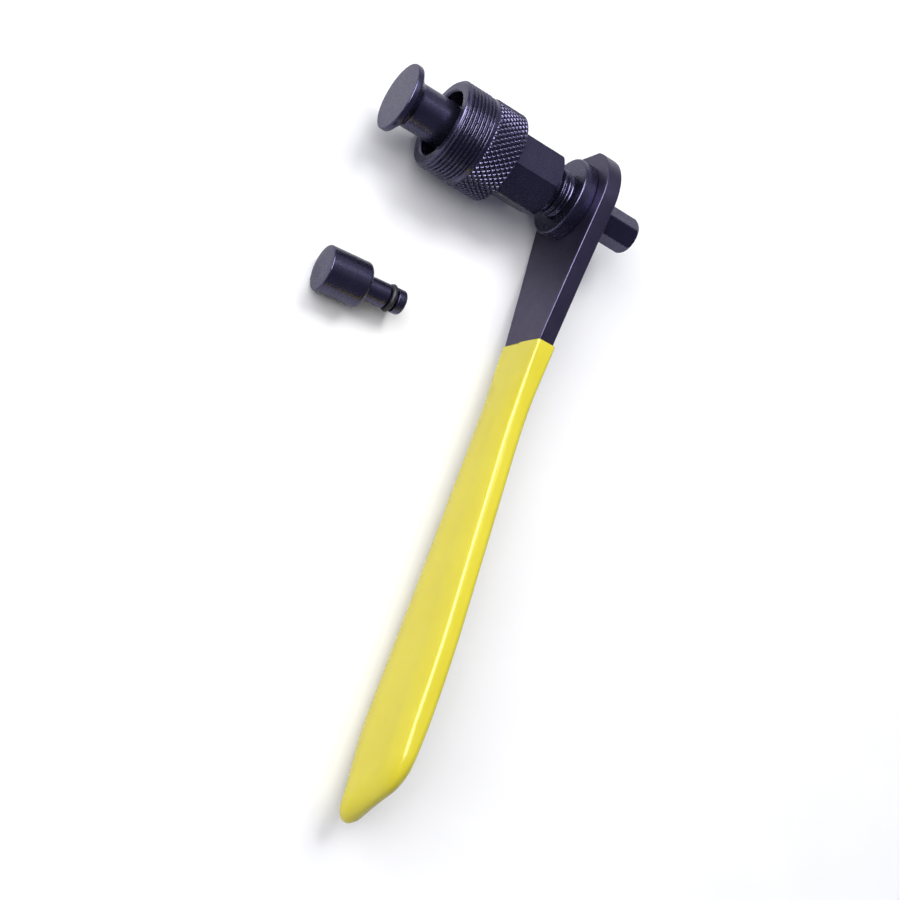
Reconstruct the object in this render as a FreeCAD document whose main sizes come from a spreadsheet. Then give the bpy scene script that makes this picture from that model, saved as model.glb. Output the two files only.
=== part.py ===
import FreeCAD, Part

import math
import os

import Sketcher

# Crank extractor with a lever handle and two press feet, in millimetres.
# +X runs along the drive screw, from the press foot to the hex tail, -Y runs down the lever to the
# end of its grip, and +Z is up: the lever stands on its long edge, the way the tool lies on a bench.
# The origin is on the screw's axis, at the back end of the sleeve's crank thread.

SIZES = {
    # extractor sleeve
    "thread_diameter": 22.0,        # M22 x 1, the standard thread in a crank arm
    "thread_length": 8.0,
    "thread_lead_in": 0.4,
    "land_diameter": 21.6,          # the plain land between the thread and the collar
    "land_width": 0.8,
    "collar_diameter": 22.3,
    "collar_length": 7.9,
    "collar_bevel": 0.3,
    "sleeve_hex": 15.0,             # across flats, for an open spanner
    "sleeve_hex_length": 13.1,
    "sleeve_hex_turn": 48.4,
    "sleeve_hex_land": 15.6,        # the flat round face inside the lead-in at the hex's end
    "sleeve_hex_lead": 1.0,
    "sleeve_hex_rise": 1.2,
    "mouth_diameter": 16.2,
    "mouth_bevel": 0.4,
    "mouth_depth": 13.0,
    "bore_cone_length": 1.2,
    # drive screw
    "screw_diameter": 12.0,         # M12 x 1.5
    "screw_start": -6.2,
    "screw_bevel": 0.5,
    "nut_play": 0.05,
    "socket_diameter": 6.0,
    "socket_depth": 12.2,
    "socket_bevel": 0.3,
    "socket_point_length": 1.7,
    "flange_diameter": 19.6,
    "flange_front": 26.6,
    "flange_bevel": 0.5,
    "tail_hex": 8.0,                # across flats, fits an 8 mm socket-head crank bolt
    "tail_end": 47.6,
    "tail_turn": 24.5,
    "tail_land": 7.8,
    "tail_lead": 0.8,
    "tail_rise": 0.75,
    # lever
    "plate_front": 30.2,
    "plate_thickness": 4.0,
    "head_radius": 13.4,
    "head_flat": 12.6,
    "arm_root_half": 12.6,
    "arm_root_place": 2.0,
    "arm_knee_half": 8.8,
    "arm_knee_place": 19.0,
    "arm_knee_radius": 60.0,
    "grip_start": 37.0,
    "waist_place": 54.0,
    "waist_half": 6.1,
    "waist_radius": 120.0,
    "belly_place": 113.0,
    "belly_half": 11.8,
    "belly_radius": 200.0,
    "palm_place": 140.0,
    "palm_half": 11.4,
    "palm_radius": 6.6,
    "tip_place": 151.2,
    "tip_half": 5.4,
    "tip_radius": 2.4,
    "heel_place": 136.0,
    "heel_half": 8.8,
    "heel_radius": 60.0,
    "grip_wall": 0.6,
    "grip_rounding": 1.2,
    # press feet
    "foot_disc_diameter": 16.5,
    "foot_disc_front": -19.9,
    "foot_disc_rim": 1.5,
    "foot_cone_length": 1.6,
    "foot_bevel": 0.3,
    "foot_neck_diameter": 10.9,
    "stem_diameter": 5.85,
    "stem_length": 10.4,
    "stem_bevel": 0.4,
    "groove_diameter": 3.9,
    "groove_width": 2.3,
    "groove_place": 7.0,            # groove centre, from the shoulder that the stem leaves
    "ring_section": 1.5,
    "ring_play": 0.03,
    "spare_head_length": 10.6,
    "spare_x": -18.65,
    "spare_y": -41.45,
    "spare_heading": 4.5,
}

OVERSHOOT = 1.0     # how far a cut runs past the faces that it opens
NEAR = 0.05         # two places closer than this are the same place

document = FreeCAD.newDocument("crank_extractor")
sheet = document.addObject("Spreadsheet::Sheet", "sizes")


class Size:
    """A length that carries both its number and the sheet expression that drives it."""

    def __init__(self, value, words):
        self.value = float(value)
        self.words = words

    def __add__(self, other):
        other = as_size(other)
        return Size(self.value + other.value, f"({self.words} + {other.words})")

    def __sub__(self, other):
        other = as_size(other)
        return Size(self.value - other.value, f"({self.words} - {other.words})")

    def __mul__(self, other):
        other = as_size(other)
        return Size(self.value * other.value, f"({self.words} * {other.words})")

    def __truediv__(self, other):
        other = as_size(other)
        return Size(self.value / other.value, f"({self.words} / {other.words})")

    def __neg__(self):
        return Size(-self.value, f"(0 - {self.words})")


def as_size(thing):
    return thing if isinstance(thing, Size) else Size(thing, str(thing))


def size(alias):
    return Size(SIZES[alias], f"sizes.{alias}")


def fill_sheet():
    for row, (alias, value) in enumerate(SIZES.items(), 1):
        sheet.set(f"A{row}", alias)
        sheet.set(f"B{row}", str(value))
        sheet.setAlias(f"B{row}", alias)
    document.recompute()


def new_body(label):
    body = document.addObject("PartDesign::Body", label)
    body.Label = label
    return body


def sketch_on(body, name, role, lift=None):
    """An empty sketch on one of the body's own origin planes, lifted off it if asked."""
    plane = [item for item in body.Origin.OriginFeatures if item.Role == role][0]
    sketch = body.newObject("Sketcher::SketchObject", name)
    sketch.AttachmentSupport = (plane, "")
    sketch.MapMode = "FlatFace"
    if lift is not None:
        sketch.setExpression(".AttachmentOffset.Base.z", lift.words)
    return sketch


def hold_point(sketch, geometry, end, across, upward):
    """Fix one end of a piece of geometry with two driven distances from the sketch's origin."""
    for kind, axis, distance in (("DistanceX", -2, across), ("DistanceY", -1, upward)):
        if distance.value == 0:
            sketch.addConstraint(Sketcher.Constraint("PointOnObject", geometry, end, axis))
            continue
        index = sketch.addConstraint(
            Sketcher.Constraint(kind, -1, 1, geometry, end, distance.value))
        sketch.setExpression(f"Constraints[{index}]", distance.words)


def draw_polygon(sketch, corners):
    corners = [(as_size(across), as_size(upward)) for across, upward in corners]
    count = len(corners)
    points = [FreeCAD.Vector(across.value, upward.value, 0) for across, upward in corners]
    for index in range(count):
        sketch.addGeometry(Part.LineSegment(points[index], points[(index + 1) % count]), False)
    for index in range(count):
        sketch.addConstraint(Sketcher.Constraint("Coincident", index, 2, (index + 1) % count, 1))
        hold_point(sketch, index, 1, *corners[index])


def hexagon(across_flats, turn):
    """Corners of a hexagon, the first one turned from the sketch's own x direction."""
    radius = across_flats / (2 * math.cos(math.radians(30)))
    corners = []
    for step in range(6):
        angle = turn.value + 60 * step
        pair = []
        for name, function in (("cos", math.cos), ("sin", math.sin)):
            words = f"({radius.words} * {name}(({turn.words} + {60 * step}) * 1 deg))"
            pair.append(Size(radius.value * function(math.radians(angle)), words))
        corners.append(tuple(pair))
    return corners


def turned(body, name, corners, kind="Revolution"):
    """A full revolution, or a groove, of a profile given as (place along X, radius)."""
    sketch = sketch_on(body, f"{name}_profile", "XY_Plane")
    draw_polygon(sketch, corners)
    feature = body.newObject(f"PartDesign::{kind}", name)
    feature.Profile = (sketch, [""])
    feature.ReferenceAxis = (sketch, ["H_Axis"])
    feature.Angle = 360
    return feature


def padded(body, name, corners, start, length):
    """A prism along +X, of an outline given as (Y, Z)."""
    sketch = sketch_on(body, f"{name}_outline", "YZ_Plane", start)
    draw_polygon(sketch, corners)
    pad = body.newObject("PartDesign::Pad", name)
    pad.Profile = (sketch, [""])
    pad.setExpression("Length", length.words)
    return pad


def pocketed(body, name, corners, start, depth):
    """A pocket along +X, of an outline given as (Y, Z), checked to have removed material."""
    before = solid_of(body).Volume
    sketch = sketch_on(body, f"{name}_outline", "YZ_Plane", start)
    draw_polygon(sketch, corners)
    pocket = body.newObject("PartDesign::Pocket", name)
    pocket.Profile = (sketch, [""])
    pocket.Reversed = True
    pocket.setExpression("Length", depth.words)
    if solid_of(body).Volume >= before:
        raise RuntimeError(f"{name} removed nothing")
    return pocket


def solid_of(body):
    """The body's solid, brought up to date, after a check that its last feature worked."""
    document.recompute()
    if "Invalid" in body.Tip.State:
        raise RuntimeError(f"{body.Tip.Name} failed: {body.Tip.getStatusString()}")
    return body.Shape


def round_edges(body, name, kind, amount, wanted):
    """A fillet or a chamfer on the edges that wanted() picks from the body's solid."""
    shape = solid_of(body)
    names = [f"Edge{number}" for number, edge in enumerate(shape.Edges, 1) if wanted(edge)]
    if not names:
        raise RuntimeError(f"{name} found no edge")
    base = body.Tip
    feature = body.newObject(f"PartDesign::{kind}", name)
    feature.Base = (base, names)
    feature.setExpression("Radius" if kind == "Fillet" else "Size", amount.words)
    return feature


def corner_edge(corner):
    """Picks the edge along X that stands on one corner of an outline."""
    def wanted(edge):
        middle = edge.CenterOfMass
        along = edge.Vertexes[-1].Point - edge.Vertexes[0].Point
        return (abs(middle.y - corner[0].value) < NEAR and abs(middle.z - corner[1].value) < NEAR
                and abs(along.x) > NEAR and abs(along.y) < NEAR and abs(along.z) < NEAR)
    return wanted


def hex_lead_in(body, name, end, which):
    """The turned lead-in that takes a hexagon's corners off at its end face."""
    land = size(f"{which}_land") / 2
    outside = land + size(f"{which}_rise")
    turned(body, name, [
        (end, land), (end, outside), (end - size(f"{which}_lead"), outside)], "Groove")


def extractor_sleeve():
    body = new_body("extractor_sleeve")
    front = -size("thread_length")
    lead = size("thread_lead_in")
    bevel = size("collar_bevel")
    collar_start = size("land_width")
    collar_end = collar_start + size("collar_length")
    rear = collar_end + size("sleeve_hex_length")
    thread = size("thread_diameter") / 2
    collar = size("collar_diameter") / 2
    land = size("land_diameter") / 2
    turned(body, "thread_and_collar", [
        (front, 0), (front, thread - lead), (front + lead, thread), (0, thread), (0, land),
        (collar_start, land), (collar_start, collar - bevel), (collar_start + bevel, collar),
        (collar_end - bevel, collar), (collar_end, collar - bevel), (collar_end, 0)])
    padded(body, "spanner_hex", hexagon(size("sleeve_hex"), size("sleeve_hex_turn")),
           collar_end, size("sleeve_hex_length"))
    hex_lead_in(body, "spanner_hex_lead", rear, "sleeve_hex")
    # the wide mouth that clears the press foot, its cone, and the nut thread behind it
    mouth = size("mouth_diameter") / 2
    nut = size("screw_diameter") / 2 + size("nut_play")
    floor = front + size("mouth_depth")
    mouth_bevel = size("mouth_bevel")
    before = front - OVERSHOOT
    behind = rear + OVERSHOOT
    turned(body, "through_bore", [
        (before, 0), (before, mouth + mouth_bevel), (front, mouth + mouth_bevel),
        (front + mouth_bevel, mouth), (floor, mouth), (floor + size("bore_cone_length"), nut),
        (behind, nut), (behind, 0)], "Groove")
    return body


def drive_screw():
    body = new_body("drive_screw")
    start = size("screw_start")
    bevel = size("screw_bevel")
    radius = size("screw_diameter") / 2
    flange = size("flange_diameter") / 2
    face = size("flange_front")
    flange_bevel = size("flange_bevel")
    plate = size("plate_front")
    socket = size("socket_diameter") / 2
    socket_bevel = size("socket_bevel")
    socket_end = start + size("socket_depth")
    turned(body, "threaded_shank", [
        (start, socket + socket_bevel), (start, radius - bevel), (start + bevel, radius),
        (face, radius), (face, flange - flange_bevel), (face + flange_bevel, flange), (plate, flange),
        (plate, 0), (socket_end + size("socket_point_length"), 0), (socket_end, socket),
        (start + socket_bevel, socket)])
    tail_end = size("tail_end")
    padded(body, "hex_tail", hexagon(size("tail_hex"), size("tail_turn")), plate, tail_end - plate)
    hex_lead_in(body, "tail_lead", tail_end, "tail")
    return body


def lever_corners(wall):
    """The lever's outline from its waist to its end, grown by a wall thickness."""
    waist = -size("waist_place")
    waist_half = size("waist_half") + wall
    return {
        "waist_top": (waist, waist_half),
        "belly_top": (-size("belly_place"), size("belly_half") + wall),
        "palm": (-(size("palm_place") + wall), size("palm_half") + wall),
        "tip": (-(size("tip_place") + wall), -(size("tip_half") + wall)),
        "heel": (-size("heel_place"), -(size("heel_half") + wall)),
        "waist_low": (waist, -waist_half),
    }


def round_lever(body, corners):
    for name, radius in (("waist_top", "waist_radius"), ("belly_top", "belly_radius"),
                         ("palm", "palm_radius"), ("tip", "tip_radius"), ("heel", "heel_radius")):
        round_edges(body, f"{name}_round", "Fillet", size(radius), corner_edge(corners[name]))


def lever_plate():
    body = new_body("lever_plate")
    front = size("plate_front")
    thickness = size("plate_thickness")
    root = -size("arm_root_place")
    root_half = size("arm_root_half")
    knee = -size("arm_knee_place")
    knee_half = size("arm_knee_half")
    corners = lever_corners(as_size(0))
    outline = [(root, root_half), (knee, knee_half)]
    outline += list(corners.values())
    outline += [(knee, -knee_half), (root, -root_half)]
    padded(body, "arm", outline, front, thickness)
    for side in (knee_half, -knee_half):
        round_edges(body, "knee_round", "Fillet", size("arm_knee_radius"), corner_edge((knee, side)))
    round_lever(body, corners)
    head = size("head_radius")
    turned(body, "head", [
        (front, 0), (front, head), (front + thickness, head), (front + thickness, 0)])
    flat = size("head_flat")
    pocketed(body, "head_end", [
        (flat, -head), (flat + head, -head), (flat + head, head), (flat, head)], front, thickness)
    pocketed(body, "hex_hole", hexagon(size("tail_hex"), size("tail_turn")), front, thickness)
    return body


def handle_grip(plate):
    """The dipped plastic grip: a rounded blank, less the lever that it was dipped onto."""
    blank = new_body("grip_blank")
    wall = size("grip_wall")
    corners = lever_corners(wall)
    # the arm narrows in a straight line from its knee to its waist, and the grip starts on the way
    way = (size("grip_start") - size("arm_knee_place")) / (size("waist_place") - size("arm_knee_place"))
    narrowing = size("arm_knee_half") - size("waist_half")
    start = -size("grip_start")
    start_half = size("arm_knee_half") - narrowing * way + wall
    outline = [(start, start_half)] + list(corners.values()) + [(start, -start_half)]
    padded(blank, "grip_bar", outline, size("plate_front") - wall,
           size("plate_thickness") + wall * 2)
    round_lever(blank, corners)

    def long_edge(edge):
        box = edge.BoundBox
        return box.XLength < NEAR and box.YMin < start.value - NEAR
    round_edges(blank, "grip_round", "Fillet", size("grip_rounding"), long_edge)
    grip = document.addObject("Part::Cut", "handle_grip")
    grip.Label = "handle_grip"
    grip.Base = blank
    grip.Tool = plate
    return grip


def foot_stem(shoulder):
    """Profile of a foot's stem and its ring groove, from the shoulder to the axis at its end."""
    stem = size("stem_diameter") / 2
    bevel = size("stem_bevel")
    groove = size("groove_diameter") / 2
    near = shoulder + size("groove_place") - size("groove_width") / 2
    far = near + size("groove_width")
    end = shoulder + size("stem_length")
    return [(shoulder, stem), (near, stem), (near, groove), (far, groove), (far, stem),
            (end - bevel, stem), (end, stem - bevel), (end, 0)]


def press_foot():
    """The wide foot in the tool: a disc on a neck that seats on the end of the screw."""
    body = new_body("press_foot")
    face = size("foot_disc_front")
    disc = size("foot_disc_diameter") / 2
    neck = size("foot_neck_diameter") / 2
    bevel = size("foot_bevel")
    rim = face + size("foot_disc_rim")
    shoulder = size("screw_start")
    turned(body, "disc_neck_and_stem", [
        (face, 0), (face, disc - bevel), (face + bevel, disc), (rim, disc),
        (rim + size("foot_cone_length"), neck), (shoulder - bevel, neck),
        (shoulder, neck - bevel)] + foot_stem(shoulder))
    return body


def spare_press_foot():
    """The narrow foot, which has the same stem. Its own frame starts at its front face."""
    body = new_body("spare_press_foot")
    head = size("foot_neck_diameter") / 2
    bevel = size("foot_bevel")
    length = size("spare_head_length")
    turned(body, "head_and_stem", [
        (0, 0), (0, head - bevel), (bevel, head), (length - bevel * 2, head),
        (length, head - bevel * 2)] + foot_stem(length))
    return body


def seal_ring(label, place, height):
    """A rubber ring in a stem's groove: its section is an oval that keeps the same area."""
    oval = document.addObject("Part::Ellipse", f"{label}_section")
    half_height = height / 2
    free = size("ring_section") / 2
    half_width = f"{free.words} * {free.words} / {half_height.words}"
    oval.setExpression("MajorRadius", half_width)
    oval.setExpression("MinorRadius", half_height.words)
    oval.setExpression(".Placement.Base.x", place.words)
    oval.setExpression(".Placement.Base.y", (size("groove_diameter") / 2 + half_height).words)
    ring = document.addObject("Part::Revolution", label)
    ring.Label = label
    ring.Source = oval
    ring.Axis = FreeCAD.Vector(1, 0, 0)
    ring.Angle = 360
    ring.Solid = True
    return ring


def lay_on_bench(thing):
    """Lay a piece of the spare foot on the plane that the lever's lower edge stands on."""
    bench = -(size("head_radius"))
    thing.setExpression(".Placement.Base.x", size("spare_x").words)
    thing.setExpression(".Placement.Base.y", size("spare_y").words)
    thing.setExpression(".Placement.Base.z", (bench + size("foot_neck_diameter") / 2).words)
    thing.Placement.Rotation = FreeCAD.Rotation(FreeCAD.Vector(0, 0, 1), SIZES["spare_heading"])


def build():
    fill_sheet()
    plate = lever_plate()
    fitted_height = (size("socket_diameter") - size("groove_diameter")) / 2 - size("ring_play")
    spare_foot = spare_press_foot()
    spare_ring = seal_ring("spare_foot_seal_ring", size("spare_head_length") + size("groove_place"),
                           size("ring_section"))
    nodes = [
        extractor_sleeve(), drive_screw(), plate, handle_grip(plate), press_foot(),
        seal_ring("press_foot_seal_ring", size("screw_start") + size("groove_place"), fitted_height),
        spare_foot, spare_ring]
    lay_on_bench(spare_foot)
    lay_on_bench(spare_ring)
    document.recompute()
    return nodes


def check(nodes):
    for item in document.Objects:
        if "Invalid" in item.State or "Error" in item.State:
            raise RuntimeError(f"{item.Label} did not recompute: {item.State}")
    for node in nodes:
        shape = node.Shape
        if shape.isNull() or not shape.isValid() or len(shape.Solids) != 1:
            raise RuntimeError(f"{node.Label} is not one valid solid")


def export(nodes):
    os.makedirs("parts", exist_ok=True)
    for node in nodes:
        node.Shape.exportStep(f"parts/{node.Label}.step")


built = build()
check(built)
export(built)
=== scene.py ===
import math

import bmesh
import bpy
import numpy as np
from mathutils import Matrix, Vector


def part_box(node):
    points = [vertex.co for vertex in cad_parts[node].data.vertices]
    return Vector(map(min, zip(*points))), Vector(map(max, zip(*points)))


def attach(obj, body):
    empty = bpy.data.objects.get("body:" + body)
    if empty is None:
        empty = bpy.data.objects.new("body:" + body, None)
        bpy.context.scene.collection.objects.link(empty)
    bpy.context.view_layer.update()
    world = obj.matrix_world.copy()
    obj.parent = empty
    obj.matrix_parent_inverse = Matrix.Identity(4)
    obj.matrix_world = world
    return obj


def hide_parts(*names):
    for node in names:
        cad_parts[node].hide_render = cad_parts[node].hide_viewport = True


# Looks for the crank extractor. Lengths in the tables below are millimetres in the row frame: +X runs along
# the drive screw, -Y down the lever, +Z up, with the origin at the back end of the sleeve's crank thread.

MM = 0.001
TURN = 2 * math.pi

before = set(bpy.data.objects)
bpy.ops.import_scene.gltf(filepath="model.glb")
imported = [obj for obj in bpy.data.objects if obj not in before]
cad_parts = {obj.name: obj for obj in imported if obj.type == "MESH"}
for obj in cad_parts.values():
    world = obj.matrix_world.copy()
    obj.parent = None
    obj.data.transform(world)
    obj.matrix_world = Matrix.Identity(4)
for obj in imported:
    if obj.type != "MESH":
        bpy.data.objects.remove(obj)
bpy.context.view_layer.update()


def span(node, axis):
    """The lowest and highest place of a CAD node along one axis, in millimetres."""
    low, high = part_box(node)
    return low[axis] / MM, high[axis] / MM


SLEEVE_FRONT, SLEEVE_BACK = span("extractor_sleeve", 0)
SCREW_FRONT, TAIL_END = span("drive_screw", 0)
PLATE_FRONT, PLATE_BACK = span("lever_plate", 0)
GRIP_FRONT, GRIP_BACK = span("handle_grip", 0)
GRIP_START = span("handle_grip", 1)[1]
FOOT_FRONT = span("press_foot", 0)[0]
BENCH = span("lever_plate", 2)[0]

# the sleeve: its thread, the plain land behind it, the knurled collar, the spanner hex and the bores
CREST_M22 = 11.0
ROOT_M22 = 10.42
PITCH_M22 = 1.0
THREAD_START_RADIUS = 10.35
LAND_RADIUS = 10.84
LAND_WIDTH = 0.8
COLLAR_RADIUS = 11.15
COLLAR_END = 8.7
COLLAR_BEVEL = 0.32
SLEEVE_HEX = 15.0
SLEEVE_HEX_CORNER = 48.4
SLEEVE_HEX_LAND = 7.7
BORE_RADIUS = 8.1
BORE_FLOOR = 5.0
NUT_START = 6.2
NUT_RADIUS = 6.05

# the drive screw: its thread, the socket in its front, the flange and the tail hex
CREST_M12 = 6.0
ROOT_M12 = 5.12
PITCH_M12 = 1.5
SCREW_START_RADIUS = 5.25
SOCKET_RADIUS = 3.0
SOCKET_FLOOR = 6.0
SOCKET_POINT = 7.7
FLANGE_FRONT = 26.6
FLANGE_RADIUS = 9.8
FLANGE_GAP = 0.03
TAIL_HEX = 8.0
TAIL_HEX_CORNER = 24.5
HEX_CORNER_CUT = 0.07

# where a crest of each thread passes, as a place along X and an angle from +Y
THREAD_ANGLE = 94.0
M22_CREST_PLACE = -7.0
M12_CREST_PLACE = 25.44

# the two feet share one stem
NECK_RADIUS = 5.45
STEM_RADIUS = 2.925
STEM_LENGTH = 10.4
GROOVE_MIDDLE = 7.0
GROOVE_HALF_WIDTH = 1.15
GROOVE_RADIUS = 1.95
WIDE_SHOULDER = -6.2
NARROW_SHOULDER = 10.6
SPARE_PLACE = (-18.65, -41.45)
SPARE_TURN = 4.5


# ---------------------------------------------------------------- meshes

def smooth(value):
    value = np.clip(value, 0.0, 1.0)
    return value * value * (3 - 2 * value)


def finish_mesh(name, corners, faces, material, body, node, crease=35.0):
    """Link a mesh given in millimetres, smooth but for its real corners, and tie it to its CAD body."""
    same_point = 0.000002
    mesh = bpy.data.meshes.new(name)
    mesh.from_pydata((np.asarray(corners, float) * MM).tolist(), [], faces)
    shape = bmesh.new()
    shape.from_mesh(mesh)
    bmesh.ops.remove_doubles(shape, verts=shape.verts, dist=same_point)
    bmesh.ops.recalc_face_normals(shape, faces=shape.faces)
    shape.to_mesh(mesh)
    shape.free()
    mesh.update()
    mesh.shade_smooth()
    mesh.set_sharp_from_angle(angle=math.radians(crease))
    mesh.materials.append(material)
    piece = bpy.data.objects.new(name, mesh)
    bpy.context.scene.collection.objects.link(piece)
    weighted = piece.modifiers.new("normals", "WEIGHTED_NORMAL")
    weighted.keep_sharp = True
    weighted.weight = 60
    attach(piece, body)
    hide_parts(node)


def angles(count, first=0.0):
    return math.radians(first) + TURN * np.arange(count) / count


def ring_points(places, radii, around):
    """One ring of points. Both the place along X and the radius may change with the angle."""
    places = np.broadcast_to(places, around.shape)
    radii = np.broadcast_to(radii, around.shape)
    return np.stack([places, radii * np.cos(around), radii * np.sin(around)], 1)


def skin(rings, closed):
    """Corners and faces of a skin over a row of rings. A closed row comes back to its first ring, and an
    open one starts and ends in a point on the axis."""
    count = len(rings[0])
    corners = np.concatenate(rings)
    faces = []
    pairs = len(rings) if closed else len(rings) - 1
    for row in range(pairs):
        here = row * count
        there = ((row + 1) % len(rings)) * count
        for step in range(count):
            ahead = (step + 1) % count
            faces.append((there + step, there + ahead, here + ahead, here + step))
    if not closed:
        first = len(corners)
        middles = [(rings[0][:, 0].mean(), 0, 0), (rings[-1][:, 0].mean(), 0, 0)]
        corners = np.concatenate([corners, middles])
        last_row = (len(rings) - 1) * count
        for step in range(count):
            ahead = (step + 1) % count
            faces.append((step, ahead, first))
            faces.append((last_row + ahead, last_row + step, first + 1))
    return corners, faces


def rounded(profile, radius, steps=4):
    """A profile of (place, radius) points with each marked corner turned into a small arc.

    Each point is (place, radius, share), and share scales the rounding, 0 for a corner left sharp."""
    out = []
    count = len(profile)
    for index, (x, r, share) in enumerate(profile):
        here = np.array([x, r], float)
        if share == 0 or index in (0, count - 1):
            out.append((x, r))
            continue
        before = np.array(profile[index - 1][:2], float) - here
        after = np.array(profile[index + 1][:2], float) - here
        room = 0.45 * min(np.linalg.norm(before), np.linalg.norm(after))
        reach = min(radius * share, room)
        start = here + before / np.linalg.norm(before) * reach
        end = here + after / np.linalg.norm(after) * reach
        for step in range(steps + 1):
            t = step / steps
            point = (1 - t) ** 2 * start + 2 * t * (1 - t) * here + t ** 2 * end
            out.append((point[0], point[1]))
    return out


def hex_radius(around, across_flats, first_corner):
    """Radius of a hexagon at each angle, with its six long edges slightly broken."""
    inner = across_flats / 2
    from_flat = np.mod(around - math.radians(first_corner), TURN / 6) - TURN / 12
    outer = inner / math.cos(TURN / 12) - HEX_CORNER_CUT
    return np.minimum(inner / np.cos(from_flat), outer)


def thread_radius(place, around, crest, root, pitch, crest_place):
    """A right-handed thread with a narrow crest, a rounded root and straight flanks."""
    crest_share = 0.13
    flank_share = 0.74
    roundness = 0.45
    phase = (place - crest_place) / pitch - (around - math.radians(THREAD_ANGLE)) / TURN
    from_crest = np.abs(phase - np.round(phase)) * 2
    down = np.clip((from_crest - crest_share) / flank_share, 0, 1)
    fall = smooth(down) * roundness + down * (1 - roundness)
    return crest - (crest - root) * fall


KNURL_AROUND = 48
KNURL_ALONG = 1.7
KNURL_DEPTH = 0.37
KNURL_TOP = 0.62
KNURL_PEAK_PLACE = 3.28
KNURL_PEAK_ANGLE = 126.3


def knurl_depth(place, around):
    """How far the diamond knurling cuts in. The peaks stand where both families of grooves are furthest."""
    turn = (around - math.radians(KNURL_PEAK_ANGLE)) / TURN * KNURL_AROUND
    along = (place - KNURL_PEAK_PLACE) / KNURL_ALONG
    heights = []
    for sense in (1, -1):
        family = turn + sense * along
        heights.append(1 - 2 * np.abs(family - np.round(family)))
    ridge = np.minimum(heights[0], heights[1])
    return KNURL_DEPTH * (1 - smooth(ridge / KNURL_TOP))


# ---------------------------------------------------------------- materials

def new_material(name):
    material = bpy.data.materials.new(name)
    material.use_nodes = True
    material.node_tree.nodes.clear()
    return material, material.node_tree.nodes, material.node_tree.links


def add_node(nodes, kind, **settings):
    node = nodes.new(kind)
    for key, value in settings.items():
        if key in node.inputs:
            node.inputs[key].default_value = value
        else:
            setattr(node, key, value)
    return node


def turned_grain(nodes, links, scale):
    """Noise that depends only on the place along X and the radius, as fine lathe marks do."""
    coordinates = add_node(nodes, "ShaderNodeTexCoord")
    parts = add_node(nodes, "ShaderNodeSeparateXYZ")
    links.new(coordinates.outputs["Object"], parts.inputs[0])
    squares = []
    for axis in ("Y", "Z"):
        square = add_node(nodes, "ShaderNodeMath", operation="MULTIPLY")
        links.new(parts.outputs[axis], square.inputs[0])
        links.new(parts.outputs[axis], square.inputs[1])
        squares.append(square)
    total = add_node(nodes, "ShaderNodeMath", operation="ADD")
    links.new(squares[0].outputs[0], total.inputs[0])
    links.new(squares[1].outputs[0], total.inputs[1])
    radius = add_node(nodes, "ShaderNodeMath", operation="SQRT")
    links.new(total.outputs[0], radius.inputs[0])
    joined = add_node(nodes, "ShaderNodeCombineXYZ")
    links.new(parts.outputs["X"], joined.inputs[0])
    links.new(radius.outputs[0], joined.inputs[1])
    noise = add_node(nodes, "ShaderNodeTexNoise", Scale=scale, Detail=3.0, Roughness=0.6)
    links.new(joined.outputs[0], noise.inputs["Vector"])
    return noise.outputs["Fac"]


def even_grain(nodes, links, scale, detail):
    """Noise with no direction, fixed to the piece."""
    coordinates = add_node(nodes, "ShaderNodeTexCoord")
    noise = add_node(nodes, "ShaderNodeTexNoise", Scale=scale, Detail=detail, Roughness=0.55)
    links.new(coordinates.outputs["Object"], noise.inputs["Vector"])
    return noise.outputs["Fac"]


def ramp_between(nodes, links, factor, low, high):
    """Two colours mixed by noise, which seldom leaves the middle of its range."""
    ramp = add_node(nodes, "ShaderNodeValToRGB")
    for element, stop, colour in zip(ramp.color_ramp.elements, (0.3, 0.7), (low, high)):
        element.position = stop
        element.color = colour
    links.new(factor, ramp.inputs[0])
    return ramp.outputs["Color"]


def bump(nodes, links, height, strength, depth, below=None):
    """A bump of a depth in millimetres, over another one if that is given."""
    node = add_node(nodes, "ShaderNodeBump", Strength=strength, Distance=depth * MM)
    links.new(height, node.inputs["Height"])
    if below is not None:
        links.new(below, node.inputs["Normal"])
    return node.outputs["Normal"]


def grey(value):
    return (value, value, value, 1)


def black_oxide(name, dark, light, roughness, lathe_bump, grain_bump):
    """Black oxide on steel: a dark violet film, patchy in colour and gloss, over a fine grain."""
    patch_scale = 260.0
    grain_scale = 3200.0
    lathe_scale = 2600.0
    material, nodes, links = new_material(name)
    out = add_node(nodes, "ShaderNodeOutputMaterial")
    shader = add_node(nodes, "ShaderNodeBsdfPrincipled", Metallic=0.93)
    patches = even_grain(nodes, links, patch_scale, 3.0)
    links.new(ramp_between(nodes, links, patches, dark, light), shader.inputs["Base Color"])
    fine = even_grain(nodes, links, grain_scale, 2.0)
    gloss = ramp_between(nodes, links, fine, grey(roughness - 0.05), grey(roughness + 0.07))
    links.new(gloss, shader.inputs["Roughness"])
    grain = bump(nodes, links, fine, grain_bump, 0.04)
    marks = bump(nodes, links, turned_grain(nodes, links, lathe_scale), lathe_bump, 0.03, grain)
    links.new(marks, shader.inputs["Normal"])
    links.new(shader.outputs[0], out.inputs[0])
    return material


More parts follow.
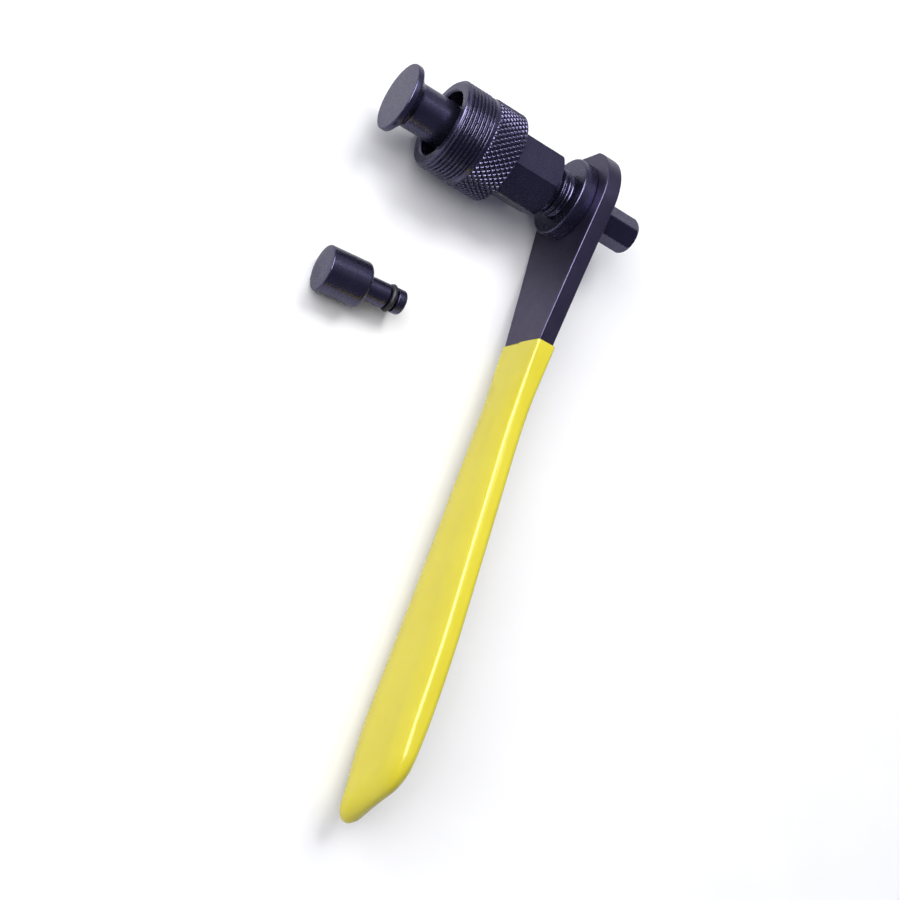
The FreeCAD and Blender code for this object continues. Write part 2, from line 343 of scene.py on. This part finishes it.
def dipped_plastic():
    """Glossy yellow dip, thick and slightly uneven in colour, gloss and surface."""
    patch_scale = 90.0
    ripple_scale = 140.0
    grain_scale = 1500.0
    shadow_tone = (0.665, 0.575, 0.037, 1)
    light_tone = (0.69, 0.605, 0.045, 1)
    material, nodes, links = new_material("yellow_dip")
    out = add_node(nodes, "ShaderNodeOutputMaterial")
    shader = add_node(nodes, "ShaderNodeBsdfPrincipled", IOR=1.47)
    patches = even_grain(nodes, links, patch_scale, 2.0)
    links.new(ramp_between(nodes, links, patches, shadow_tone, light_tone), shader.inputs["Base Color"])
    fine = even_grain(nodes, links, grain_scale, 2.0)
    links.new(ramp_between(nodes, links, fine, grey(0.19), grey(0.27)), shader.inputs["Roughness"])
    shader.inputs["Subsurface Weight"].default_value = 0.12
    shader.inputs["Subsurface Radius"].default_value = (0.0012, 0.0009, 0.0002)
    shader.inputs["Subsurface Scale"].default_value = 0.6
    ripple = bump(nodes, links, even_grain(nodes, links, ripple_scale, 1.0), 0.12, 0.2)
    links.new(bump(nodes, links, fine, 0.12, 0.03, ripple), shader.inputs["Normal"])
    links.new(shader.outputs[0], out.inputs[0])
    return material


def rubber():
    """Dull black rubber with a faint bloom."""
    bloom_scale = 1800.0
    black = (0.008, 0.008, 0.014, 1)
    bloomed = (0.018, 0.017, 0.026, 1)
    material, nodes, links = new_material("seal_rubber")
    out = add_node(nodes, "ShaderNodeOutputMaterial")
    shader = add_node(nodes, "ShaderNodeBsdfPrincipled")
    bloom = even_grain(nodes, links, bloom_scale, 3.0)
    links.new(ramp_between(nodes, links, bloom, black, bloomed), shader.inputs["Base Color"])
    links.new(ramp_between(nodes, links, bloom, grey(0.42), grey(0.58)), shader.inputs["Roughness"])
    links.new(bump(nodes, links, bloom, 0.2, 0.04), shader.inputs["Normal"])
    links.new(shader.outputs[0], out.inputs[0])
    return material


# ---------------------------------------------------------------- sleeve

def sleeve_mouth(around):
    """From the wide bore's floor over the rounded rim to the start of the thread."""
    front = SLEEVE_FRONT
    inner_bevel = 0.4
    rim = [(BORE_FLOOR, BORE_RADIUS, 0), (front + inner_bevel, BORE_RADIUS, 1),
           (front, BORE_RADIUS + inner_bevel, 1), (front, THREAD_START_RADIUS, 1),
           (front + 0.35, THREAD_START_RADIUS + 0.25, 0)]
    return [ring_points(x, r, around) for x, r in rounded(rim, 0.14)[:-1]]


def sleeve_thread(around):
    """The M22 thread, which starts with a lead-in and runs out into the plain land."""
    lead_slope = 0.9
    run_out = 0.45
    rings = []
    for x in np.linspace(SLEEVE_FRONT + 0.3, -0.02, 96):
        cut = thread_radius(x, around, CREST_M22, ROOT_M22, PITCH_M22, M22_CREST_PLACE)
        fade = smooth((x + 0.1 + run_out) / run_out)
        cut = cut * (1 - fade) + LAND_RADIUS * fade
        lead_in = THREAD_START_RADIUS + (x - SLEEVE_FRONT) * lead_slope
        rings.append(ring_points(x, np.minimum(cut, lead_in), around))
    rings += [ring_points(x, LAND_RADIUS, around) for x in (0.06, LAND_WIDTH - 0.05)]
    return rings


def knurled_collar(around):
    rings = []
    for x in np.linspace(LAND_WIDTH, COLLAR_END, 84):
        knurled = COLLAR_RADIUS - knurl_depth(x, around)
        from_edge = min(x - LAND_WIDTH, COLLAR_END - x)
        edge = COLLAR_RADIUS - COLLAR_BEVEL + from_edge
        rings.append(ring_points(x, np.minimum(knurled, edge), around))
    return rings


def spanner_hex(around):
    """The collar's back face, the fillet into the hex, its flats and its rounded back corners."""
    flats = hex_radius(around, SLEEVE_HEX, SLEEVE_HEX_CORNER)
    rings = [ring_points(COLLAR_END + 0.02, 10.3, around), ring_points(COLLAR_END + 0.03, 9.4, around)]
    for step, fillet in ((0.03, 0.25), (0.10, 0.06), (0.28, 0.0)):
        rings.append(ring_points(COLLAR_END + step, flats + fillet, around))
    rings += [ring_points(x, flats, around) for x in np.linspace(10, 20, 6)]
    rounding = ((20.85, 9.0), (21.3, 8.4), (21.6, 8.04), (21.74, 7.86), (SLEEVE_BACK, SLEEVE_HEX_LAND))
    rings += [ring_points(x, np.minimum(flats, limit), around) for x, limit in rounding]
    return rings


def nut_bore(around):
    """The back face, the bore the screw runs in, and the step back to the wide bore."""
    bevel = 0.3
    profile = [(SLEEVE_BACK, SLEEVE_HEX_LAND - 0.3, 0), (SLEEVE_BACK, NUT_RADIUS + bevel, 1),
               (SLEEVE_BACK - bevel, NUT_RADIUS, 1), (NUT_START, NUT_RADIUS, 0),
               (BORE_FLOOR + 0.02, BORE_RADIUS - 0.1, 0)]
    return [ring_points(x, r, around) for x, r in rounded(profile, 0.1)]


def sleeve(material):
    around = angles(576, SLEEVE_HEX_CORNER)
    rings = sleeve_mouth(around) + sleeve_thread(around) + knurled_collar(around)
    rings += spanner_hex(around) + nut_bore(around)
    corners, faces = skin(rings, True)
    finish_mesh("sleeve", corners, faces, material, "sleeve", "extractor_sleeve", 50.0)


# ---------------------------------------------------------------- screw

def screw_front(around):
    """The socket for the foot, from its drilled point to the rounded rim around it."""
    front = SCREW_FRONT
    profile = [(SOCKET_POINT, 0.05, 0), (SOCKET_FLOOR, SOCKET_RADIUS, 0), (front + 0.3, SOCKET_RADIUS, 0),
               (front, SOCKET_RADIUS + 0.3, 1), (front, 5.2, 1), (front + 0.4, 5.55, 0)]
    return [ring_points(x, r, around) for x, r in rounded(profile, 0.1)[:-1]]


def screw_thread(around, end):
    lead_slope = 1.1
    rings = []
    for x in np.linspace(SCREW_FRONT + 0.12, end, 262):
        cut = thread_radius(x, around, CREST_M12, ROOT_M12, PITCH_M12, M12_CREST_PLACE)
        lead_in = SCREW_START_RADIUS + (x - SCREW_FRONT) * lead_slope
        rings.append(ring_points(x, np.minimum(cut, lead_in), around))
    return rings


def flange(around, thread_end):
    back = PLATE_FRONT - FLANGE_GAP
    profile = [(thread_end + 0.1, 5.3, 0), (FLANGE_FRONT, 5.45, 0), (FLANGE_FRONT, FLANGE_RADIUS, 1.6),
               (back, FLANGE_RADIUS, 0.8), (back, 6.0, 0)]
    return [ring_points(x, r, around) for x, r in rounded(profile, 0.32)]


def tail_hex(around):
    """The hex that carries the lever, with the corners of its end rounded off."""
    flats = hex_radius(around, TAIL_HEX, TAIL_HEX_CORNER)
    rings = [ring_points(PLATE_FRONT - 0.02, flats, around)]
    rings += [ring_points(x, flats, around) for x in np.linspace(PLATE_BACK, TAIL_END - 1.0, 6)]
    for back, limit in ((0.72, 4.55), (0.42, 4.36), (0.2, 4.16), (0.07, 3.98)):
        rings.append(ring_points(TAIL_END - back, np.minimum(flats, limit), around))
    rings += [ring_points(TAIL_END, r, around) for r in (3.84, 2.0)]
    return rings


def screw(material):
    around = angles(240, TAIL_HEX_CORNER)
    thread_end = FLANGE_FRONT - 0.35
    rings = screw_front(around) + screw_thread(around, thread_end) + flange(around, thread_end)
    corners, faces = skin(rings + tail_hex(around), False)
    finish_mesh("screw", corners, faces, material, "handle", "drive_screw", 50.0)


# ---------------------------------------------------------------- feet and rings

def lathed(profile):
    around = angles(192)
    rings = [ring_points(x, r, around) for x, r in rounded(profile, 0.3)]
    return skin(rings, False)


def stem_profile(shoulder):
    """The stem with its ring groove, from the shoulder to its end."""
    groove_start = shoulder + GROOVE_MIDDLE - GROOVE_HALF_WIDTH
    groove_end = shoulder + GROOVE_MIDDLE + GROOVE_HALF_WIDTH
    end = shoulder + STEM_LENGTH
    bevel = 0.4
    return [(shoulder, STEM_RADIUS, 0), (groove_start, STEM_RADIUS, 0.6), (groove_start, GROOVE_RADIUS, 0),
            (groove_end, GROOVE_RADIUS, 0), (groove_end, STEM_RADIUS, 0.6), (end - bevel, STEM_RADIUS, 1),
            (end, 2.5, 1), (end, 0.3, 0)]


def wide_foot(material):
    face = FOOT_FRONT
    disc_radius = 8.25
    profile = [(face, 0.3, 0), (face, 4.0, 0), (face, disc_radius, 1.3), (face + 1.45, disc_radius, 1),
               (face + 2.3, 6.9, 1.0), (face + 3.5, NECK_RADIUS, 2.0), (WIDE_SHOULDER - 0.4, NECK_RADIUS, 1),
               (WIDE_SHOULDER, NECK_RADIUS - 0.4, 0.6)]
    corners, faces = lathed(profile + stem_profile(WIDE_SHOULDER))
    finish_mesh("wide_foot", corners, faces, material, "foot", "press_foot")


def lay_down(corners):
    """Put a piece of the spare foot where it lies on the bench, given in the foot's own frame."""
    lying = Matrix.Translation((*SPARE_PLACE, BENCH + NECK_RADIUS))
    place = lying @ Matrix.Rotation(math.radians(SPARE_TURN), 4, "Z")
    return [tuple(place @ Vector(corner)) for corner in corners]


def narrow_foot(material):
    profile = [(0.0, 0.3, 0), (0.0, 3.0, 0), (0.0, NECK_RADIUS, 1.1), (4.0, NECK_RADIUS, 0),
               (NARROW_SHOULDER - 0.6, NECK_RADIUS, 1.5), (NARROW_SHOULDER, NECK_RADIUS - 0.6, 0.8)]
    corners, faces = lathed(profile + stem_profile(NARROW_SHOULDER))
    finish_mesh("narrow_foot", lay_down(corners), faces, material, "spare_foot", "spare_press_foot")


def ring_skin(place, half_height, half_width):
    """A seal ring of oval section that sits on the floor of the stem's groove."""
    around = angles(96)
    rings = []
    for turn in angles(28):
        radius = GROOVE_RADIUS + half_height * (1 + math.sin(turn))
        rings.append(ring_points(place + half_width * math.cos(turn), radius, around))
    return skin(rings, True)


def fitted_ring(material):
    """The ring inside the socket, squeezed flat without losing any of its section."""
    free_half = 0.75
    half_height = 0.51
    corners, faces = ring_skin(WIDE_SHOULDER + GROOVE_MIDDLE, half_height, free_half ** 2 / half_height)
    finish_mesh("fitted_seal_ring", corners, faces, material, "foot", "press_foot_seal_ring")


def loose_ring(material):
    corners, faces = ring_skin(NARROW_SHOULDER + GROOVE_MIDDLE, 0.69, 0.63)
    finish_mesh("spare_seal_ring", lay_down(corners), faces, material, "spare_foot", "spare_foot_seal_ring")


# ---------------------------------------------------------------- lever and grip

def arc_corner(before, here, after, radius, steps):
    """Points of the arc that rounds one corner of an outline."""
    before, here, after = (np.array(point, float) for point in (before, here, after))
    back = (before - here) / np.linalg.norm(before - here)
    ahead = (after - here) / np.linalg.norm(after - here)
    half = math.acos(np.clip(back @ ahead, -1, 1)) / 2
    if radius == 0 or half > math.radians(89.7):
        return [here]
    reach = radius / math.tan(half)
    bisector = (back + ahead) / np.linalg.norm(back + ahead)
    middle = here + bisector * (radius / math.sin(half))
    start = here + back * reach - middle
    end = here + ahead * reach - middle
    sweep = math.pi - 2 * half
    side = np.sign(start[0] * end[1] - start[1] * end[0])
    points = []
    for step in range(steps + 1):
        turn = side * sweep * step / steps
        turned = np.array([start[0] * math.cos(turn) - start[1] * math.sin(turn),
                           start[0] * math.sin(turn) + start[1] * math.cos(turn)])
        points.append(middle + turned)
    return points


def rounded_outline(corners):
    """A closed outline of (Y, Z) points, from corners given as (Y, Z, radius, steps)."""
    points = []
    count = len(corners)
    for index, (y, z, radius, steps) in enumerate(corners):
        before = corners[index - 1][:2]
        after = corners[(index + 1) % count][:2]
        points += arc_corner(before, (y, z), after, radius, steps)
    return np.array(points)


def fill_gaps(points, longest):
    """More points along the straight stretches of an outline."""
    out = []
    for index, point in enumerate(points):
        ahead = points[(index + 1) % len(points)]
        parts = max(1, int(np.linalg.norm(ahead - point) / longest))
        out += [point + (ahead - point) * part / parts for part in range(parts)]
    return np.array(out)


def inset(points, amount):
    """An outline moved inwards. The outline runs clockwise, seen with Y to the right and Z up."""
    before = points - np.roll(points, 1, axis=0)
    after = np.roll(points, -1, axis=0) - points
    before /= np.linalg.norm(before, axis=1)[:, None]
    after /= np.linalg.norm(after, axis=1)[:, None]
    inward = np.stack([before[:, 1] + after[:, 1], -(before[:, 0] + after[:, 0])], 1)
    inward /= np.linalg.norm(inward, axis=1)[:, None]
    mitre = np.stack([after[:, 1], -after[:, 0]], 1)
    return points + inward * amount / np.maximum((inward * mitre).sum(1), 0.5)[:, None]


def slab(points, low, high, edge_radius, steps):
    """A plate with this outline between two places along X, its edges rounded."""
    layers = []
    for step in range(steps + 1):
        turn = math.pi / 2 * step / steps
        layers.append((low + edge_radius * (1 - math.sin(turn)), edge_radius * (1 - math.cos(turn))))
    front = layers[::-1]
    back = [(high - (place - low), amount) for place, amount in layers]
    corners = []
    for place, amount in front + back:
        moved = inset(points, amount)
        corners += [(place, y, z) for y, z in moved]
    count = len(points)
    faces = []
    for row in range(len(front) + len(back) - 1):
        for step in range(count):
            ahead = (step + 1) % count
            faces.append((row * count + step, row * count + ahead,
                          (row + 1) * count + ahead, (row + 1) * count + step))
    last = (len(front) + len(back) - 1) * count
    faces.append(tuple(range(count))[::-1])
    faces.append(tuple(last + step for step in range(count)))
    return corners, faces


HEAD_RADIUS = 13.4
HEAD_FLAT = 12.6
ARM_LEAVES_HEAD = 99.9

# corners as (Y, Z, rounding radius, steps of the rounding)
ARM_TOP = [(-19, 10.3, 90, 8), (-38.5, 7.3, 0, 0), (-41, 4.8, 0, 0)]
HIDDEN_TANG = [(-54, 3.9, 0, 0), (-113, 9.4, 0, 0), (-137, 9.0, 4, 6), (-148, -4.0, 3, 6),
               (-54, -3.9, 0, 0)]
GRIP_HALF_START = 8.0
GRIP_SIDES = [(-54, 6.7, 120, 6), (-113, 12.4, 200, 10), (-141.0, 12.2, 11.0, 18), (-153.0, -7.6, 2.6, 12),
              (-137, -10.8, 60, 8), (-100, -9.3, 200, 6), (-52, -8.0, 120, 6)]


def lever_outline():
    """The lever from the cut end of its head over the top to the tip, and back underneath.

    Inside the grip the arm is drawn narrower, so that the rounded dip covers it everywhere."""
    first = math.acos(HEAD_FLAT / HEAD_RADIUS)
    turns = np.linspace(first, math.radians(ARM_LEAVES_HEAD), 40)
    head = [(HEAD_RADIUS * math.cos(turn), HEAD_RADIUS * math.sin(turn), 0, 0) for turn in turns]
    upper = head + ARM_TOP
    lower = [(y, -z, radius, steps) for y, z, radius, steps in reversed(upper)]
    return upper + HIDDEN_TANG + lower


def lever(material):
    longest_step = 6.0
    edge_radius = 0.32
    points = fill_gaps(rounded_outline(lever_outline())[::-1], longest_step)
    corners, faces = slab(points, PLATE_FRONT, PLATE_BACK, edge_radius, 4)
    finish_mesh("lever", corners, faces, material, "handle", "lever_plate", 32.0)


def crown_fall(tilt, reach, full_tilt):
    """How far a crown has fallen where its skin tilts this much, if its tilt grows evenly over its reach."""
    return -math.log(math.cos(tilt)) * reach / full_tilt


def side_section(half, edge, crown_tilt, steps):
    """Half of the grip's section along its sides: an almost flat crown, a rounded edge and a flat flank.

    Each row is the distance in from the outline, the distance from the middle plane and the skin's tilt."""
    crown_reach = 5.5
    edge_in = edge * (1 - math.sin(crown_tilt))
    rows = []
    for step in range(steps):
        share = 1 - step / steps
        tilt = crown_tilt * (1 - share)
        high = half - crown_fall(tilt, crown_reach, crown_tilt)
        rows.append((edge_in + crown_reach * share, high, tilt))
    flank = half - crown_fall(crown_tilt, crown_reach, crown_tilt) - edge * math.cos(crown_tilt)
    for step in range(steps):
        tilt = crown_tilt + (math.pi / 2 - crown_tilt) * step / (steps - 1)
        rows.append((edge * (1 - math.sin(tilt)), flank + edge * math.cos(tilt), tilt))
    rows.append((0.0, 0.0, math.pi / 2))
    return np.array(rows)


def end_section(half, steps):
    """Half of the grip's section at its end: a quarter of an ellipse, with as many rows as the side's."""
    reach = 6.2
    tilts = math.pi / 2 * np.arange(2 * steps + 1) / (2 * steps)
    return np.stack([reach * (1 - np.sin(tilts)), half * np.cos(tilts), tilts], 1)


def grip_spine(points):
    """For each outline point the nearest point of the line the grip's crown runs along."""
    line = np.array([(GRIP_START, 0.0), (-54.0, -0.5), (-113.0, 1.4), (-138.5, 1.2)])
    feet = []
    for point in points:
        near = []
        for start, end in zip(line[:-1], line[1:]):
            along = np.clip((point - start) @ (end - start) / ((end - start) @ (end - start)), 0, 1)
            near.append(start + (end - start) * along)
        feet.append(min(near, key=lambda foot: np.linalg.norm(point - foot)))
    return np.array(feet)


def grip_path():
    """The grip's outline from the top of its start round its end to the bottom of its start."""
    lip_width = 0.2
    longest_step = 2.5
    low_start = (GRIP_START, -GRIP_HALF_START)
    outline = [(GRIP_START, GRIP_HALF_START, 0, 0)] + GRIP_SIDES + [(*low_start, 0, 0)]
    path = fill_gaps(rounded_outline(outline), longest_step)
    last = int(np.argmin(np.linalg.norm(path - low_start, axis=1)))
    step_in = np.array([[lip_width, 0]])
    first_point = path[:1]
    last_point = path[last:last + 1]
    return np.concatenate([first_point, first_point - step_in, path[1:last],
                           last_point - step_in, last_point])


def grip_sections(half, steps, place):
    """The grip's section at a place along Y: squarer at its start, crowned along it, round at its end."""
    start_stretch = 18.0
    end_from = 126.0
    end_stretch = 16.0
    start = side_section((GRIP_BACK - GRIP_FRONT) / 2, 0.8, math.radians(3), steps)
    sides = side_section(half, 1.5, math.radians(15), steps)
    end = end_section(half, steps)
    from_start = smooth((GRIP_START - place) / start_stretch)
    to_end = smooth((-place - end_from) / end_stretch)
    rows = start * (1 - from_start) + sides * from_start
    return rows * (1 - to_end) + end * to_end


def grip(material):
    """The dip: one rib for each point of its outline, from its crown over its edge to its other crown."""
    front = GRIP_FRONT - 0.2
    back = GRIP_BACK + 0.5
    lip_bevel = 0.12
    steps = 9
    half = (back - front) / 2
    middle = (front + back) / 2
    path = grip_path()
    corners = []
    for index, (edge, foot) in enumerate(zip(path, grip_spine(path))):
        reach, high, tilt = grip_sections(half, steps, edge[0]).T
        if index in (0, len(path) - 1):
            reach = reach + lip_bevel * np.sin(tilt)
            high = high - lip_bevel * np.cos(tilt)
        inward = (foot - edge) / np.linalg.norm(foot - edge)
        spots = edge + inward * reach[:, None]
        rib = [(high[0], *foot)] + [(up, y, z) for up, (y, z) in zip(high, spots)]
        corners += [(middle - up, y, z) for up, y, z in rib]
        corners += [(middle + up, y, z) for up, y, z in reversed(rib[:-1])]
    count = len(corners) // len(path)
    faces = []
    for row in range(len(path) - 1):
        for step in range(count - 1):
            here = row * count + step
            faces.append((here, here + 1, here + 1 + count, here + count))
    final = (len(path) - 1) * count
    faces.append(tuple(range(count))[::-1] + tuple(range(final, final + count)))
    finish_mesh("grip", corners, faces, material, "handle", "handle_grip", 60.0)


# ---------------------------------------------------------------- bench, light and camera

def bench_material():
    """White paper. Seen in reflections it turns to a darker grey, a painted shade that dims the paper's
    reflection in the metal.
    """
    material, nodes, links = new_material("bench_white")
    out = add_node(nodes, "ShaderNodeOutputMaterial")
    plain = add_node(nodes, "ShaderNodeBsdfDiffuse")
    # painted shade: in reflections the paper is a darker grey than it is to the camera
    painted_reflection_shade = add_node(nodes, "ShaderNodeBsdfDiffuse", Color=grey(0.6))
    paper = even_grain(nodes, links, 40.0, 2.0)
    links.new(ramp_between(nodes, links, paper, grey(0.88), grey(0.9)), plain.inputs["Color"])
    rays = add_node(nodes, "ShaderNodeLightPath")
    mix = add_node(nodes, "ShaderNodeMixShader")
    links.new(rays.outputs["Is Glossy Ray"], mix.inputs[0])
    links.new(plain.outputs[0], mix.inputs[1])
    links.new(painted_reflection_shade.outputs[0], mix.inputs[2])
    links.new(mix.outputs[0], out.inputs[0])
    return material


def bench():
    reach = 0.9
    rim = [(reach * math.cos(turn), reach * math.sin(turn), BENCH * MM) for turn in angles(48)]
    mesh = bpy.data.meshes.new("bench")
    mesh.from_pydata(rim, [], [tuple(range(len(rim)))])
    mesh.materials.append(bench_material())
    floor = bpy.data.objects.new("bench", mesh)
    bpy.context.scene.collection.objects.link(floor)


def soft_light(name, direction, distance, wide, tall, power, in_gloss, in_shade):
    """A rectangle of light, its width along X, seen in reflections and casting light as asked."""
    data = bpy.data.lights.new(name, "AREA")
    data.shape = "RECTANGLE"
    data.size = wide
    data.size_y = tall
    data.energy = power
    light = bpy.data.objects.new(name, data)
    aim = Vector((0.01, -0.05, 0))
    towards = Vector(direction).normalized()
    across = (Vector((1, 0, 0)) - towards * towards.x).normalized()
    light.location = aim + towards * distance
    light.rotation_mode = "QUATERNION"
    turn = Matrix((across, towards.cross(across), towards)).transposed()
    light.rotation_quaternion = turn.to_quaternion()
    light.visible_glossy = in_gloss
    light.visible_diffuse = in_shade
    light.visible_camera = False
    bpy.context.scene.collection.objects.link(light)


def glow(nodes, links, direction, centre, inner, outer):
    """1 within one angle of a direction in the sky, falling to 0 at another."""
    towards = add_node(nodes, "ShaderNodeVectorMath", operation="DOT_PRODUCT")
    links.new(direction, towards.inputs[0])
    towards.inputs[1].default_value = Vector(centre).normalized()
    fall = add_node(nodes, "ShaderNodeMapRange", interpolation_type="SMOOTHSTEP")
    fall.inputs["From Min"].default_value = math.cos(math.radians(outer))
    fall.inputs["From Max"].default_value = math.cos(math.radians(inner))
    links.new(towards.outputs["Value"], fall.inputs["Value"])
    return fall.outputs["Result"]


def sky():
    """White to the camera, and to the object a dim blue tent with paler patches in it."""
    pale_patches = (((0, 0, 1), 0, 180, 0.02),
                    ((0.42, 0.26, 0.87), 7, 27, 0.16),
                    ((0.3, 0.95, 0.12), 10, 60, 0.3),
                    ((0.1, -1.0, 0.15), 5, 50, 0.06))
    tent_colour = (0.06, 0.064, 0.12, 1)
    world = bpy.data.worlds.new("studio")
    bpy.context.scene.world = world
    world.use_nodes = True
    nodes, links = world.node_tree.nodes, world.node_tree.links
    nodes.clear()
    coordinates = add_node(nodes, "ShaderNodeTexCoord")
    total = None
    for centre, inner, outer, strength in pale_patches:
        part = add_node(nodes, "ShaderNodeMath", operation="MULTIPLY")
        patch = glow(nodes, links, coordinates.outputs["Generated"], centre, inner, outer)
        links.new(patch, part.inputs[0])
        part.inputs[1].default_value = strength
        if total is None:
            total = part.outputs[0]
            continue
        both = add_node(nodes, "ShaderNodeMath", operation="ADD")
        links.new(total, both.inputs[0])
        links.new(part.outputs[0], both.inputs[1])
        total = both.outputs[0]
    tent = add_node(nodes, "ShaderNodeBackground", Strength=1.0)
    tent.inputs["Color"].default_value = tent_colour
    panels = add_node(nodes, "ShaderNodeBackground")
    panels.inputs["Color"].default_value = grey(1)
    links.new(total, panels.inputs["Strength"])
    lit = add_node(nodes, "ShaderNodeAddShader")
    links.new(tent.outputs[0], lit.inputs[0])
    links.new(panels.outputs[0], lit.inputs[1])
    white = add_node(nodes, "ShaderNodeBackground", Strength=1.05)
    white.inputs["Color"].default_value = grey(1)
    rays = add_node(nodes, "ShaderNodeLightPath")
    mix = add_node(nodes, "ShaderNodeMixShader")
    links.new(rays.outputs["Is Camera Ray"], mix.inputs[0])
    links.new(lit.outputs[0], mix.inputs[1])
    links.new(white.outputs[0], mix.inputs[2])
    out = add_node(nodes, "ShaderNodeOutputWorld")
    links.new(mix.outputs[0], out.inputs[0])


def camera():
    """In front of the foot and on the lever's side, looking steeply down at the tool."""
    right = Vector((0.801998, 0.329004, 0.498553))
    up = Vector((-0.420802, 0.903561, 0.080648))
    back = Vector((-0.423939, -0.274472, 0.863100))
    data = bpy.data.cameras.new("camera")
    data.sensor_width = 36
    data.lens = 74.54
    data.clip_start = 0.01
    data.clip_end = 20
    eye = bpy.data.objects.new("camera", data)
    eye.rotation_mode = "QUATERNION"
    eye.rotation_quaternion = Matrix((right, up, back)).transposed().to_quaternion()
    eye.location = (-0.153557, -0.181681, 0.358249)
    bpy.context.scene.collection.objects.link(eye)
    bpy.context.scene.camera = eye


def lights():
    """Two lights give the shadows and the shading, and the other two are only seen in reflections."""
    above_behind = (0.05, 0.54, 0.84)
    soft_light("main_light", above_behind, 1.0, 0.4, 0.4, 5.8, False, True)
    soft_light("glint_light", above_behind, 1.0, 0.2, 0.2, 2.2, True, False)
    soft_light("fill_light", (-0.6, 0.1, 0.8), 1.2, 1.2, 1.2, 16.5, False, True)
    soft_light("ridge_light", (-0.7, 0.26, 0.66), 1.0, 0.62, 0.9, 20.0, True, False)


def build():
    steel = black_oxide("black_oxide_steel", (0.074, 0.069, 0.128, 1), (0.088, 0.082, 0.142, 1),
                        roughness=0.26, lathe_bump=0.2, grain_bump=0.07)
    stamped = black_oxide("black_oxide_plate", (0.068, 0.058, 0.112, 1), (0.082, 0.072, 0.126, 1),
                          roughness=0.36, lathe_bump=0.0, grain_bump=0.35)
    seal = rubber()
    for turned_piece in (sleeve, screw, wide_foot, narrow_foot):
        turned_piece(steel)
    for ring in (fitted_ring, loose_ring):
        ring(seal)
    lever(stamped)
    grip(dipped_plastic())
    bench()
    lights()
    sky()
    camera()
    bpy.context.scene.view_settings.view_transform = "Standard"


build()
